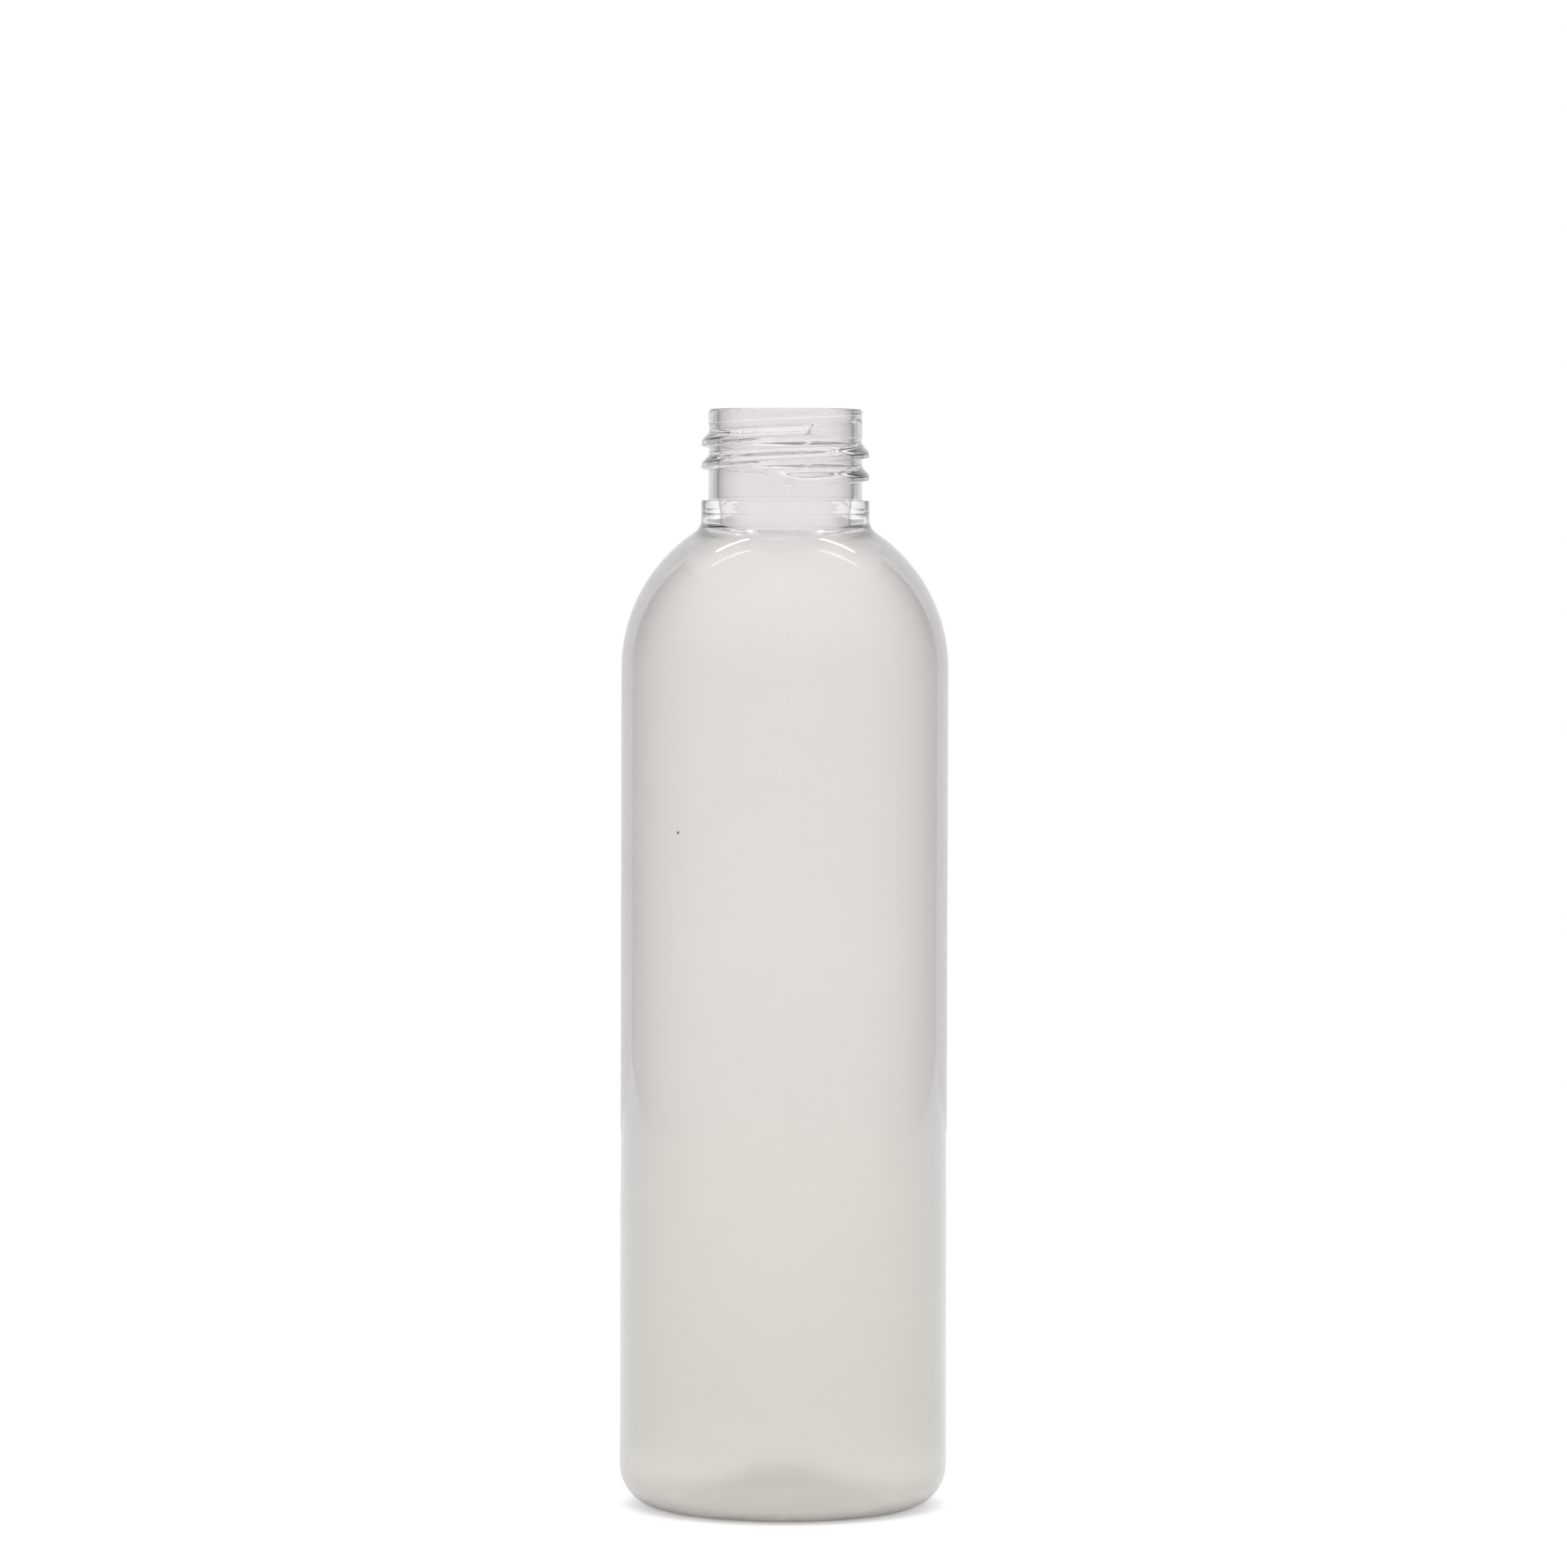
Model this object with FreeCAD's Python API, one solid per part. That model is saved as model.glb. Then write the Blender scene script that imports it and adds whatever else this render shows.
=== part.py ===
import FreeCAD, Part
import math
import os

# Round bottle of clear PET with an open screw neck, stretch-blown from an injection-moulded preform.
# It is one piece. Lengths are in millimetres and angles in degrees.
# +Z is up. The origin is the middle of the foot, on the plane that the bottle stands on. The front is -Y.

# Overall form of the body
TOTAL_HEIGHT = 155.3
PANEL_DIAMETER = 46.23
FOOT_BAND_TOP = 41.0
FOOT_BAND_STEP = 0.085
FOOT_BAND_EASE = 9.0
HEEL_RADIUS = 6.0

# Underside: standing ring, conical push-up with a flat pad, and the stub left by the gate
STANDING_RING_WIDTH = 1.4
PUSH_UP_HEIGHT = 3.6
PAD_DIAMETER = 8.0
GATE_DIAMETER = 3.4
GATE_HEIGHT = 0.7
GATE_CHAMFER = 0.3

# Walls of the blown part
BODY_WALL = 0.55
FLOOR_WALL = 0.9
PAD_WALL = 1.7
SHOULDER_TOP_WALL = 1.8

# Neck finish, 24 mm with a long skirt, and the waist that narrows its bore
FINISH_HEIGHT = 16.8
NECK_WALL = 1.1
NECK_DRAFT = 0.5
RIM_CHAMFER = 0.25
WAIST_STEP = 0.4
WAIST_TOP = 2.8
WAIST_BOTTOM = 1.2

# Support ring under the thread, and the fine seam where the neck mould met the blow mould
RING_REACH = 1.12
RING_HEIGHT = 3.9
RING_SEAM_DROP = 2.0
RING_SEAM_WIDTH = 0.3
RING_SEAM_DEPTH = 0.12
NECK_ROOT_REACH = 0.55
NECK_ROOT_RISE = 0.95

# Screw thread: a single right-hand start with a steep load flank below and a sloping one above
THREAD_DIAMETER = 23.7
THREAD_RISE = 1.1
THREAD_PITCH = 3.175
THREAD_TURNS = 2.09
THREAD_END_DROP = 3.87
THREAD_END_ANGLE = 20.0
THREAD_END_LEAN = 50.0
THREAD_CREST_WIDTH = 0.8
THREAD_LOAD_FLANK = 10.0
THREAD_BACK_FLANK = 45.0
THREAD_BITE = 0.3

# Heights and radii that follow
FRONT = -90.0
PANEL_RADIUS = PANEL_DIAMETER / 2
FOOT_RADIUS = PANEL_RADIUS + FOOT_BAND_STEP
CREST_RADIUS = THREAD_DIAMETER / 2
NECK_RADIUS = CREST_RADIUS - THREAD_RISE
RING_RADIUS = NECK_RADIUS + RING_REACH
BORE_RADIUS = NECK_RADIUS - NECK_WALL
WAIST_RADIUS = BORE_RADIUS - WAIST_STEP
RING_BOTTOM = TOTAL_HEIGHT - FINISH_HEIGHT
RING_TOP = RING_BOTTOM + RING_HEIGHT

# The shoulder is a dome, tangent to the panel, that meets the support ring at its lower end.
# The dome inside it sits lower, so the wall thins from the neck down to the panel.
SHOULDER_BASE = RING_BOTTOM - math.sqrt(PANEL_RADIUS ** 2 - RING_RADIUS ** 2)
INNER_SHOULDER_BASE = SHOULDER_BASE + BODY_WALL - SHOULDER_TOP_WALL


def point(radius, height):
    """A point of the section, which lies in the half plane of +X and Z."""
    return FreeCAD.Vector(radius, 0, height)


def arc(start, end, centre):
    """The shorter arc from start to end round a centre."""
    towards_middle = (start - centre).normalize() + (end - centre).normalize()
    middle = centre + towards_middle.normalize() * (start - centre).Length
    return Part.Arc(start, middle, end).toShape()


def line(start, end):
    """The straight edge from start to end."""
    return Part.LineSegment(start, end).toShape()


def rounded_run(corners):
    """Straight edges through the corners, each given with a rounding that is tangent to both its edges."""
    edges = []
    here = corners[0][0]
    for (before, _), (corner, rounding), (after, _) in zip(corners, corners[1:], corners[2:]):
        back = (before - corner).normalize()
        ahead = (after - corner).normalize()
        half_angle = back.getAngle(ahead) / 2
        start = corner + back * (rounding / math.tan(half_angle))
        end = corner + ahead * (rounding / math.tan(half_angle))
        edges.append(line(here, start))
        if rounding > 0:
            centre = corner + (back + ahead).normalize() * (rounding / math.sin(half_angle))
            edges.append(arc(start, end, centre))
        here = end
    edges.append(line(here, corners[-1][0]))
    return edges


def floor_corners(side_radius, heel_radius, floor_wall, pad_wall):
    """Corners of one face of the floor: its pad, the cone down to the standing ring, and the heel."""
    land_radius = FOOT_RADIUS - HEEL_RADIUS - STANDING_RING_WIDTH
    return [
        (point(0, PUSH_UP_HEIGHT + pad_wall), 0),
        (point(PAD_DIAMETER / 2, PUSH_UP_HEIGHT + pad_wall), 0),
        (point(land_radius, floor_wall), 0),
        (point(side_radius, floor_wall), heel_radius),
    ]


def outer_side():
    """Outside in section from the floor to the shoulder, with the panel drawn in above the foot band."""
    return rounded_run(floor_corners(FOOT_RADIUS, HEEL_RADIUS, 0, 0) + [
        (point(FOOT_RADIUS, FOOT_BAND_TOP), 0),
        (point(PANEL_RADIUS, FOOT_BAND_TOP + FOOT_BAND_EASE), 0),
        (point(PANEL_RADIUS, SHOULDER_BASE), 0),
    ])


def inner_side():
    """Inside in section from the floor to the shoulder."""
    radius = PANEL_RADIUS - BODY_WALL
    return rounded_run(floor_corners(radius, HEEL_RADIUS - BODY_WALL, FLOOR_WALL, PAD_WALL) + [
        (point(radius, INNER_SHOULDER_BASE), 0),
    ])


def shoulder(radius, base, top_radius):
    """One face of the dome in section, from the panel up to the radius where the neck begins."""
    centre = point(0, base)
    top = base + math.sqrt(radius ** 2 - top_radius ** 2)
    return [arc(point(radius, base), point(top_radius, top), centre)]


def neck_radius_at(height):
    """Outside radius of the neck wall, which widens downwards by its draft."""
    return NECK_RADIUS + (TOTAL_HEIGHT - height) * math.tan(math.radians(NECK_DRAFT))


def neck(start, end):
    """Neck in section: a bevel up to the support ring, the ring, the wall, the rim, and down the bore."""
    seam_height = RING_TOP - RING_SEAM_DROP
    return rounded_run([
        (start, 0),
        (point(RING_RADIUS, start.z + NECK_ROOT_RISE), 0),
        (point(RING_RADIUS, seam_height - RING_SEAM_WIDTH / 2), 0),
        (point(RING_RADIUS - RING_SEAM_DEPTH, seam_height), 0),
        (point(RING_RADIUS, seam_height + RING_SEAM_WIDTH / 2), 0),
        (point(RING_RADIUS, RING_TOP), 0),
        (point(neck_radius_at(RING_TOP), RING_TOP), 0),
        (point(neck_radius_at(TOTAL_HEIGHT - RIM_CHAMFER), TOTAL_HEIGHT - RIM_CHAMFER), 0),
        (point(neck_radius_at(TOTAL_HEIGHT) - RIM_CHAMFER, TOTAL_HEIGHT), 0),
        (point(BORE_RADIUS + RIM_CHAMFER, TOTAL_HEIGHT), 0),
        (point(BORE_RADIUS, TOTAL_HEIGHT - RIM_CHAMFER), 0),
        (point(BORE_RADIUS, RING_BOTTOM + WAIST_TOP), 0),
        (point(WAIST_RADIUS, RING_BOTTOM + WAIST_BOTTOM), 0),
        (end, 0),
    ])


def blown_shell():
    """Wall of the whole bottle turned about its axis, without the thread and the gate's stub."""
    outside = outer_side() + shoulder(PANEL_RADIUS, SHOULDER_BASE, RING_RADIUS + NECK_ROOT_REACH)
    inside = inner_side() + shoulder(PANEL_RADIUS - BODY_WALL, INNER_SHOULDER_BASE, WAIST_RADIUS)
    rim = neck(outside[-1].lastVertex().Point, inside[-1].lastVertex().Point)
    axis = line(outside[0].firstVertex().Point, inside[0].firstVertex().Point)
    section = Part.Wire(Part.__sortEdges__(outside + rim + inside + [axis]))
    return Part.Face(section).revolve(FreeCAD.Vector(), FreeCAD.Vector(0, 0, 1), 360)


def gate_stub():
    """Short stub under the middle of the pad, where the preform was filled."""
    low = PUSH_UP_HEIGHT - GATE_HEIGHT
    stub = Part.makeCylinder(GATE_DIAMETER / 2, GATE_HEIGHT + PAD_WALL / 2, point(0, low))
    lower_edge = [edge for edge in stub.Edges if edge.BoundBox.ZMax < PUSH_UP_HEIGHT]
    return stub.makeChamfer(GATE_CHAMFER, lower_edge)


def thread_foot(flank, depth):
    """How far a flank spreads from the crest's edge over a depth below the crest."""
    return THREAD_CREST_WIDTH / 2 + depth * math.tan(math.radians(flank))


def run_out(angle, height, lean):
    """Block whose face pivots on the neck wall and takes the thread off beyond an angle.

    With no lean its face is tangent to the neck, so the thread fades out. A lean makes the end blunter.
    Its upper and lower faces lie midway between two turns.
    """
    below = thread_foot(THREAD_LOAD_FLANK, THREAD_RISE)
    above = thread_foot(THREAD_BACK_FLANK, THREAD_RISE)
    low = height - (THREAD_PITCH - above + below) / 2
    block = Part.makeBox(THREAD_DIAMETER, THREAD_DIAMETER, THREAD_PITCH, FreeCAD.Vector(0, -THREAD_DIAMETER / 2, low))
    block.rotate(FreeCAD.Vector(), FreeCAD.Vector(0, 0, 1), lean)
    block.translate(FreeCAD.Vector(neck_radius_at(height), 0, 0))
    block.rotate(FreeCAD.Vector(), FreeCAD.Vector(0, 0, 1), angle)
    return block


def screw_thread():
    """Helical thread, bedded into the neck wall, that fades in low at the front and ends under the rim."""
    root_radius = NECK_RADIUS - THREAD_BITE
    depth = THREAD_RISE + THREAD_BITE
    below = point(root_radius, -thread_foot(THREAD_LOAD_FLANK, depth))
    above = point(root_radius, thread_foot(THREAD_BACK_FLANK, depth))
    tooth = rounded_run([
        (below, 0),
        (point(CREST_RADIUS, -THREAD_CREST_WIDTH / 2), 0),
        (point(CREST_RADIUS, THREAD_CREST_WIDTH / 2), 0),
        (above, 0),
    ])
    section = Part.Wire(tooth + [line(above, below)])
    rise = THREAD_PITCH * THREAD_TURNS
    helix = Part.makeHelix(THREAD_PITCH, rise, CREST_RADIUS)
    thread = Part.Wire(helix).makePipeShell([section], True, True)
    end_angle = FRONT + THREAD_END_ANGLE
    start_angle = end_angle - 360 * THREAD_TURNS
    end_height = TOTAL_HEIGHT - THREAD_END_DROP
    start_height = end_height - rise
    thread.rotate(FreeCAD.Vector(), FreeCAD.Vector(0, 0, 1), start_angle)
    thread.translate(FreeCAD.Vector(0, 0, start_height))
    return thread.cut([run_out(start_angle, start_height, 0), run_out(end_angle, end_height, THREAD_END_LEAN)])


def bottle():
    """The whole bottle as one solid."""
    return blown_shell().fuse([gate_stub(), screw_thread()])


os.makedirs("parts", exist_ok=True)
bottle().exportStep("parts/bottle.step")
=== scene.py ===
"""Clear PET bottle with a 24 mm screw neck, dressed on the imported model's frame.

The classes that make the bottle's shape work in millimetres, and the skin is scaled once, when its
mesh is made. Its finish and the studio are in metres, apart from names that end in _mm. +Z is up,
the front is -Y and the bottle stands on the plane Z = 0.
"""
import logging
import math
from dataclasses import dataclass, field
from enum import Enum
from typing import Any

import bpy
import numpy as np
from mathutils import Euler, Matrix, Vector


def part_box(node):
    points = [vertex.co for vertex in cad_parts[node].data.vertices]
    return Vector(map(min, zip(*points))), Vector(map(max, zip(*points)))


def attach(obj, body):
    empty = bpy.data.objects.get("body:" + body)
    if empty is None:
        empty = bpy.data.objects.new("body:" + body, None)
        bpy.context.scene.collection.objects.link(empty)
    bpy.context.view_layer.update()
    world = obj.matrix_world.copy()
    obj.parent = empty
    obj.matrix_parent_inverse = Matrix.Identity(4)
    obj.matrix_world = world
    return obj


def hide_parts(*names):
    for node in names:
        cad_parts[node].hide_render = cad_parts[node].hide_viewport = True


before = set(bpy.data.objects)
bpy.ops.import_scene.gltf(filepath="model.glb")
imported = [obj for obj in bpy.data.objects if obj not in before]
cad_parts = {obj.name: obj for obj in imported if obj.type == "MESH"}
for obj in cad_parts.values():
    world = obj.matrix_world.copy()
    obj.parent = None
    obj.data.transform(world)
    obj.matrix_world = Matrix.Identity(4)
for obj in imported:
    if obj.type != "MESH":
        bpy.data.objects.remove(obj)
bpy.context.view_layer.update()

LOG = logging.getLogger("bottle")
NODE = "bottle"
MM = 0.001
FULL_TURN = 360.0
ARC_STEPS = 7
COINCIDENT = 1e-6

# Radius, height and rounding of a corner of a section
Corner = tuple[float, float, float]
# What a node's input takes: a constant, or the output that feeds it
Feed = float | bpy.types.NodeSocket


class Ray(Enum):
    """Kinds of ray, by the names of their outputs on a Light Path node."""

    CAMERA = "Is Camera Ray"
    GLOSSY = "Is Glossy Ray"
    TRANSMISSION = "Is Transmission Ray"


class Maths(Enum):
    """Operations of a Math node, by their names on it."""

    ABSOLUTE = "ABSOLUTE"
    MAXIMUM = "MAXIMUM"
    MULTIPLY = "MULTIPLY"
    SUBTRACT = "SUBTRACT"


def linear(colour: str) -> tuple[float, float, float, float]:
    """Turns an sRGB hex colour into the linear values that a shader takes, by the standard's curve.

    Args:
        colour: six hex digits after a hash.

    Returns:
        Red, green, blue and an alpha of one.
    """
    srgb = np.array([int(colour[i : i + 2], 16) for i in (1, 3, 5)]) / 255
    light = np.where(srgb <= 0.04045, srgb / 12.92, ((srgb + 0.055) / 1.055) ** 2.4)
    return (*light.tolist(), 1.0)


def add_object(name: str, data: bpy.types.ID) -> bpy.types.Object:
    """Puts a mesh, a lamp or a camera into the scene, at the origin and unturned.

    Args:
        name: what the object is called.
        data: what it shows.

    Returns:
        The new object.
    """
    made = bpy.data.objects.new(name, data)
    bpy.context.scene.collection.objects.link(made)
    return made


def empty_tree(owner: bpy.types.ID) -> bpy.types.NodeTree:
    """Turns on the nodes of a material or a world and clears them away.

    Args:
        owner: the material or the world.

    Returns:
        Its node tree, with nothing in it.
    """
    owner.use_nodes = True
    owner.node_tree.nodes.clear()
    return owner.node_tree


def add_node(
    tree: bpy.types.NodeTree, kind: str, links: dict[Any, Any] | None = None, **settings: Any
) -> bpy.types.Node:
    """Adds a node with its settings, its constants and its links.

    Args:
        tree: the node tree that it goes into.
        kind: the node's type name.
        links: for each input, by name or number, a constant or the output socket that feeds it.
        settings: properties of the node itself.

    Returns:
        The new node.
    """
    node = tree.nodes.new(kind)
    for name, value in settings.items():
        setattr(node, name, value)
    for name, value in (links or {}).items():
        if isinstance(value, bpy.types.NodeSocket):
            tree.links.new(value, node.inputs[name])
        else:
            node.inputs[name].default_value = value
    return node


def ramp(
    tree: bpy.types.NodeTree,
    value: Feed,
    span: tuple[float, float] = (0.0, 1.0),
    onto: tuple[Feed, Feed] = (0.0, 1.0),
    soft: bool = False,
) -> bpy.types.NodeSocket:
    """Maps a value's run over a span onto another run, held level beyond both ends.

    Args:
        tree: the node tree.
        value: what is mapped.
        span: the values at which the run starts and ends. The second may be the lower one.
        onto: the results there.
        soft: whether the run is level at both ends, instead of straight.

    Returns:
        The result.
    """
    links = {"Value": value, "From Min": span[0], "From Max": span[1], "To Min": onto[0], "To Max": onto[1]}
    course = "SMOOTHSTEP" if soft else "LINEAR"
    return add_node(tree, "ShaderNodeMapRange", links, interpolation_type=course).outputs[0]


def maths(tree: bpy.types.NodeTree, operation: Maths, a: Feed, b: Feed = 0.0) -> bpy.types.NodeSocket:
    """Result of an operation on a value, or on two of them."""
    return add_node(tree, "ShaderNodeMath", {0: a, 1: b}, operation=operation.value).outputs[0]


def mix(tree: bpy.types.NodeTree, share: Feed, first: Feed, second: Feed) -> bpy.types.NodeSocket:
    """Value that runs from the first to the second as the share goes from 0 to 1."""
    return add_node(tree, "ShaderNodeMix", {0: share, 2: first, 3: second}).outputs[0]


def mix_colours(tree: bpy.types.NodeTree, share: Feed, first: Any, second: Any) -> bpy.types.NodeSocket:
    """Colour that runs from the first to the second as the share goes from 0 to 1."""
    return add_node(tree, "ShaderNodeMix", {0: share, 6: first, 7: second}, data_type="RGBA").outputs[2]


def distance(
    tree: bpy.types.NodeTree,
    place: bpy.types.NodeSocket,
    centre: tuple[float, float, float] = (0.0, 0.0, 0.0),
) -> bpy.types.NodeSocket:
    """Distance of a place from a centre."""
    node = add_node(tree, "ShaderNodeVectorMath", {0: place, 1: centre}, operation="DISTANCE")
    return node.outputs["Value"]


def unit(vectors: np.ndarray) -> np.ndarray:
    """Vectors scaled to length one along their last axis."""
    return vectors / np.linalg.norm(vectors, axis=-1, keepdims=True)


def smooth_step(value: np.ndarray) -> np.ndarray:
    """Runs from 0 to 1 as the value does, level at both ends: 3t^2 - 2t^3."""
    t = np.clip(value, 0, 1)
    return t * t * (3 - 2 * t)


def soft_lower(a: np.ndarray, b: np.ndarray, blend: float) -> np.ndarray:
    """The lower of two surfaces, with the corner between them rounded over a blend.

    Where they differ by less than the blend, a quarter of the square of the shortfall, over the
    blend, is taken off the lower one, which makes the join tangent to both.

    Args:
        a: one surface's values.
        b: the other's.
        blend: the difference at which the rounding begins.

    Returns:
        The rounded minimum.
    """
    short = np.maximum(blend - np.abs(a - b), 0)
    return np.minimum(a, b) - short * short / (4 * blend)


def rounded_path(corners: list[Corner], steps: int = ARC_STEPS) -> np.ndarray:
    """Path through the corners of a section, each turned by an arc tangent to both its edges.

    For a corner c with unit directions u back and v ahead, and half the angle between them h, the
    arc of radius r has its centre at c + r / sin(h) along the bisector and starts r / tan(h) before
    the corner.

    Args:
        corners: radius, height and rounding of each corner. The two ends have no rounding.
        steps: points on each arc.

    Returns:
        Points as rows of radius and height, none of them twice.
    """
    table = np.array(corners, float)
    place, rounding = table[:, :2], table[1:-1, 2]
    back = unit(place[:-2] - place[1:-1])
    ahead = unit(place[2:] - place[1:-1])
    half = np.arccos(np.clip((back * ahead).sum(1), -1, 1)) / 2
    centre = place[1:-1] + unit(back + ahead) * (rounding / np.sin(half))[:, None]
    start = place[1:-1] + back * (rounding / np.tan(half))[:, None] - centre
    side = np.sign(back[:, 1] * ahead[:, 0] - back[:, 0] * ahead[:, 1])
    turn = (side * (math.pi - 2 * half))[:, None] * np.linspace(0, 1, steps)
    x = start[:, :1] * np.cos(turn) - start[:, 1:] * np.sin(turn)
    y = start[:, :1] * np.sin(turn) + start[:, 1:] * np.cos(turn)
    arcs = np.stack([x, y], axis=2) + centre[:, None, :]
    path = np.vstack([place[:1], arcs.reshape(-1, 2), place[-1:]])
    fresh = np.r_[True, np.linalg.norm(np.diff(path, axis=0), axis=1) > COINCIDENT]
    return path[fresh]


def refined(path: np.ndarray, longest: float) -> np.ndarray:
    """The same path with its long straight runs cut up evenly.

    A run of length l is cut into as many equal parts as l / longest, rounded up.

    Args:
        path: rows of radius and height.
        longest: greatest length of a part.

    Returns:
        The path with the points that were added.
    """
    step = np.diff(path, axis=0)
    parts = np.maximum(np.ceil(np.linalg.norm(step, axis=1) / longest), 1).astype(int)
    first = np.repeat(np.cumsum(parts) - parts, parts)
    share = (np.arange(parts.sum()) - first) / np.repeat(parts, parts)
    run = np.repeat(path[:-1], parts, axis=0) + np.repeat(step, parts, axis=0) * share[:, None]
    return np.vstack([run, path[-1:]])


def dome(radius: float, base: float, start: float, end: float, count: int) -> np.ndarray:
    """Arc of a dome's section: radius R cos(a), height base + R sin(a), as a goes from start to end.

    Args:
        radius: radius R of the dome.
        base: height of its centre.
        start: first angle above the horizontal.
        end: last angle.
        count: points on the arc.

    Returns:
        Rows of radius and height.
    """
    angle = np.linspace(start, end, count)
    return np.stack([radius * np.cos(angle), base + radius * np.sin(angle)], axis=1)


def dome_tangent(radius: float, base: float, angle: float, reach: float, rounding: float) -> Corner:
    """Corner where the tangent to a dome at an angle meets an upright wall at a smaller radius.

    The tangent climbs by the cotangent of the angle for each unit that it runs inwards.

    Args:
        radius: radius of the dome.
        base: height of its centre.
        angle: angle above the horizontal of the point that the tangent touches.
        reach: radius of the wall.
        rounding: rounding of the corner.

    Returns:
        Radius, height and rounding of the corner.
    """
    climb = (radius * math.cos(angle) - reach) / math.tan(angle)
    return reach, base + radius * math.sin(angle) + climb, rounding


@dataclass
class Foot:
    """Standing ring, heel and push-up under the body, with the stub left by the gate."""

    heel_radius: float = 6.0
    standing_ring_width: float = 1.4
    land_rounding: float = 1.0
    push_up_height: float = 3.6
    pad_diameter: float = 8.0
    pad_rounding: float = 1.5
    inner_pad_rounding: float = 2.0
    gate_diameter: float = 3.4
    gate_height: float = 0.7
    gate_rounding: float = 0.25
    floor_wall: float = 0.9
    pad_wall: float = 1.7

    def land_radius(self, foot_radius: float) -> float:
        """Inner radius of the standing ring, where the push-up begins."""
        return foot_radius - self.heel_radius - self.standing_ring_width

    def outside(self, foot_radius: float) -> list[Corner]:
        """Corners of the underside, from the axis out to the heel.

        Args:
            foot_radius: outer radius of the foot band.

        Returns:
            Radius, height and rounding of each corner.
        """
        high, low = self.push_up_height, self.push_up_height - self.gate_height
        return [
            (0, low, 0),
            (self.gate_diameter / 2, low, self.gate_rounding),
            (self.gate_diameter / 2, high, self.gate_rounding),
            (self.pad_diameter / 2, high, self.pad_rounding),
            (self.land_radius(foot_radius), 0, self.land_rounding),
            (foot_radius, 0, self.heel_radius),
        ]

    def inside(self, foot_radius: float, side_radius: float, body_wall: float) -> list[Corner]:
        """Corners of the floor inside, from the body's side in to the axis.

        Args:
            foot_radius: outer radius of the foot band.
            side_radius: inner radius of the body.
            body_wall: thickness of the body's wall.

        Returns:
            Radius, height and rounding of each corner.
        """
        high = self.push_up_height + self.pad_wall
        return [
            (side_radius, self.floor_wall, self.heel_radius - body_wall),
            (self.land_radius(foot_radius), self.floor_wall, self.land_rounding),
            (self.pad_diameter / 2, high, self.inner_pad_rounding),
            (0, high, 0),
        ]


@dataclass
class Thread:
    """Single right-hand start of the 24 mm finish, as a height field on the neck's wall.

    Angles are in degrees. The load flank is the steep one below the crest.
    """

    crest_radius: float = 11.85
    pitch: float = 3.175
    turns: float = 2.09
    end_drop: float = 3.87
    end_angle: float = -70.0
    crest_width: float = 0.8
    load_flank: float = 10.0
    back_flank: float = 45.0
    crest_blend: float = 0.38
    foot_blend: float = 0.4
    fade_in: float = 27.0
    fade_out: float = 7.0

    def radius(self, angle: np.ndarray, height: np.ndarray, wall: np.ndarray, top: float) -> np.ndarray:
        """Outer radius of the neck with the thread on it.

        A turn's middle rises by the pitch in each turn. Across it, the radius is the lowest of the
        crest and the two flanks, which climb from the wall at one over the tangent of their angle.
        The crest itself rises out of the wall at the start and drops into it at the end. The result
        is the highest of the turns and the bare wall, and each of these joins is rounded.

        Args:
            angle: angle round the axis, in degrees.
            height: height of each point.
            wall: radius of the bare wall there.
            top: height of the rim.

        Returns:
            Radius at each point.
        """
        length = FULL_TURN * self.turns
        start_height = top - self.end_drop - self.pitch * self.turns
        start_angle = self.end_angle - length
        low_slope = 1 / math.tan(math.radians(self.load_flank))
        high_slope = 1 / math.tan(math.radians(self.back_flank))
        rise = self.crest_radius - wall
        low_foot = self.crest_width / 2 + rise / low_slope
        high_foot = self.crest_width / 2 + rise / high_slope
        result = wall
        for turn in range(math.ceil(self.turns) + 1):
            along = (angle - start_angle) % FULL_TURN + FULL_TURN * turn
            middle = start_height + self.pitch * along / FULL_TURN
            fade = smooth_step(along / self.fade_in) * smooth_step((length - along) / self.fade_out)
            below = wall + (height - middle + low_foot) * low_slope
            above = wall + (middle + high_foot - height) * high_slope
            tooth = soft_lower(below, above, self.crest_blend)
            tooth = soft_lower(tooth, wall + rise * fade, self.crest_blend)
            result = -soft_lower(-result, -tooth, self.foot_blend)
        return result


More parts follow.
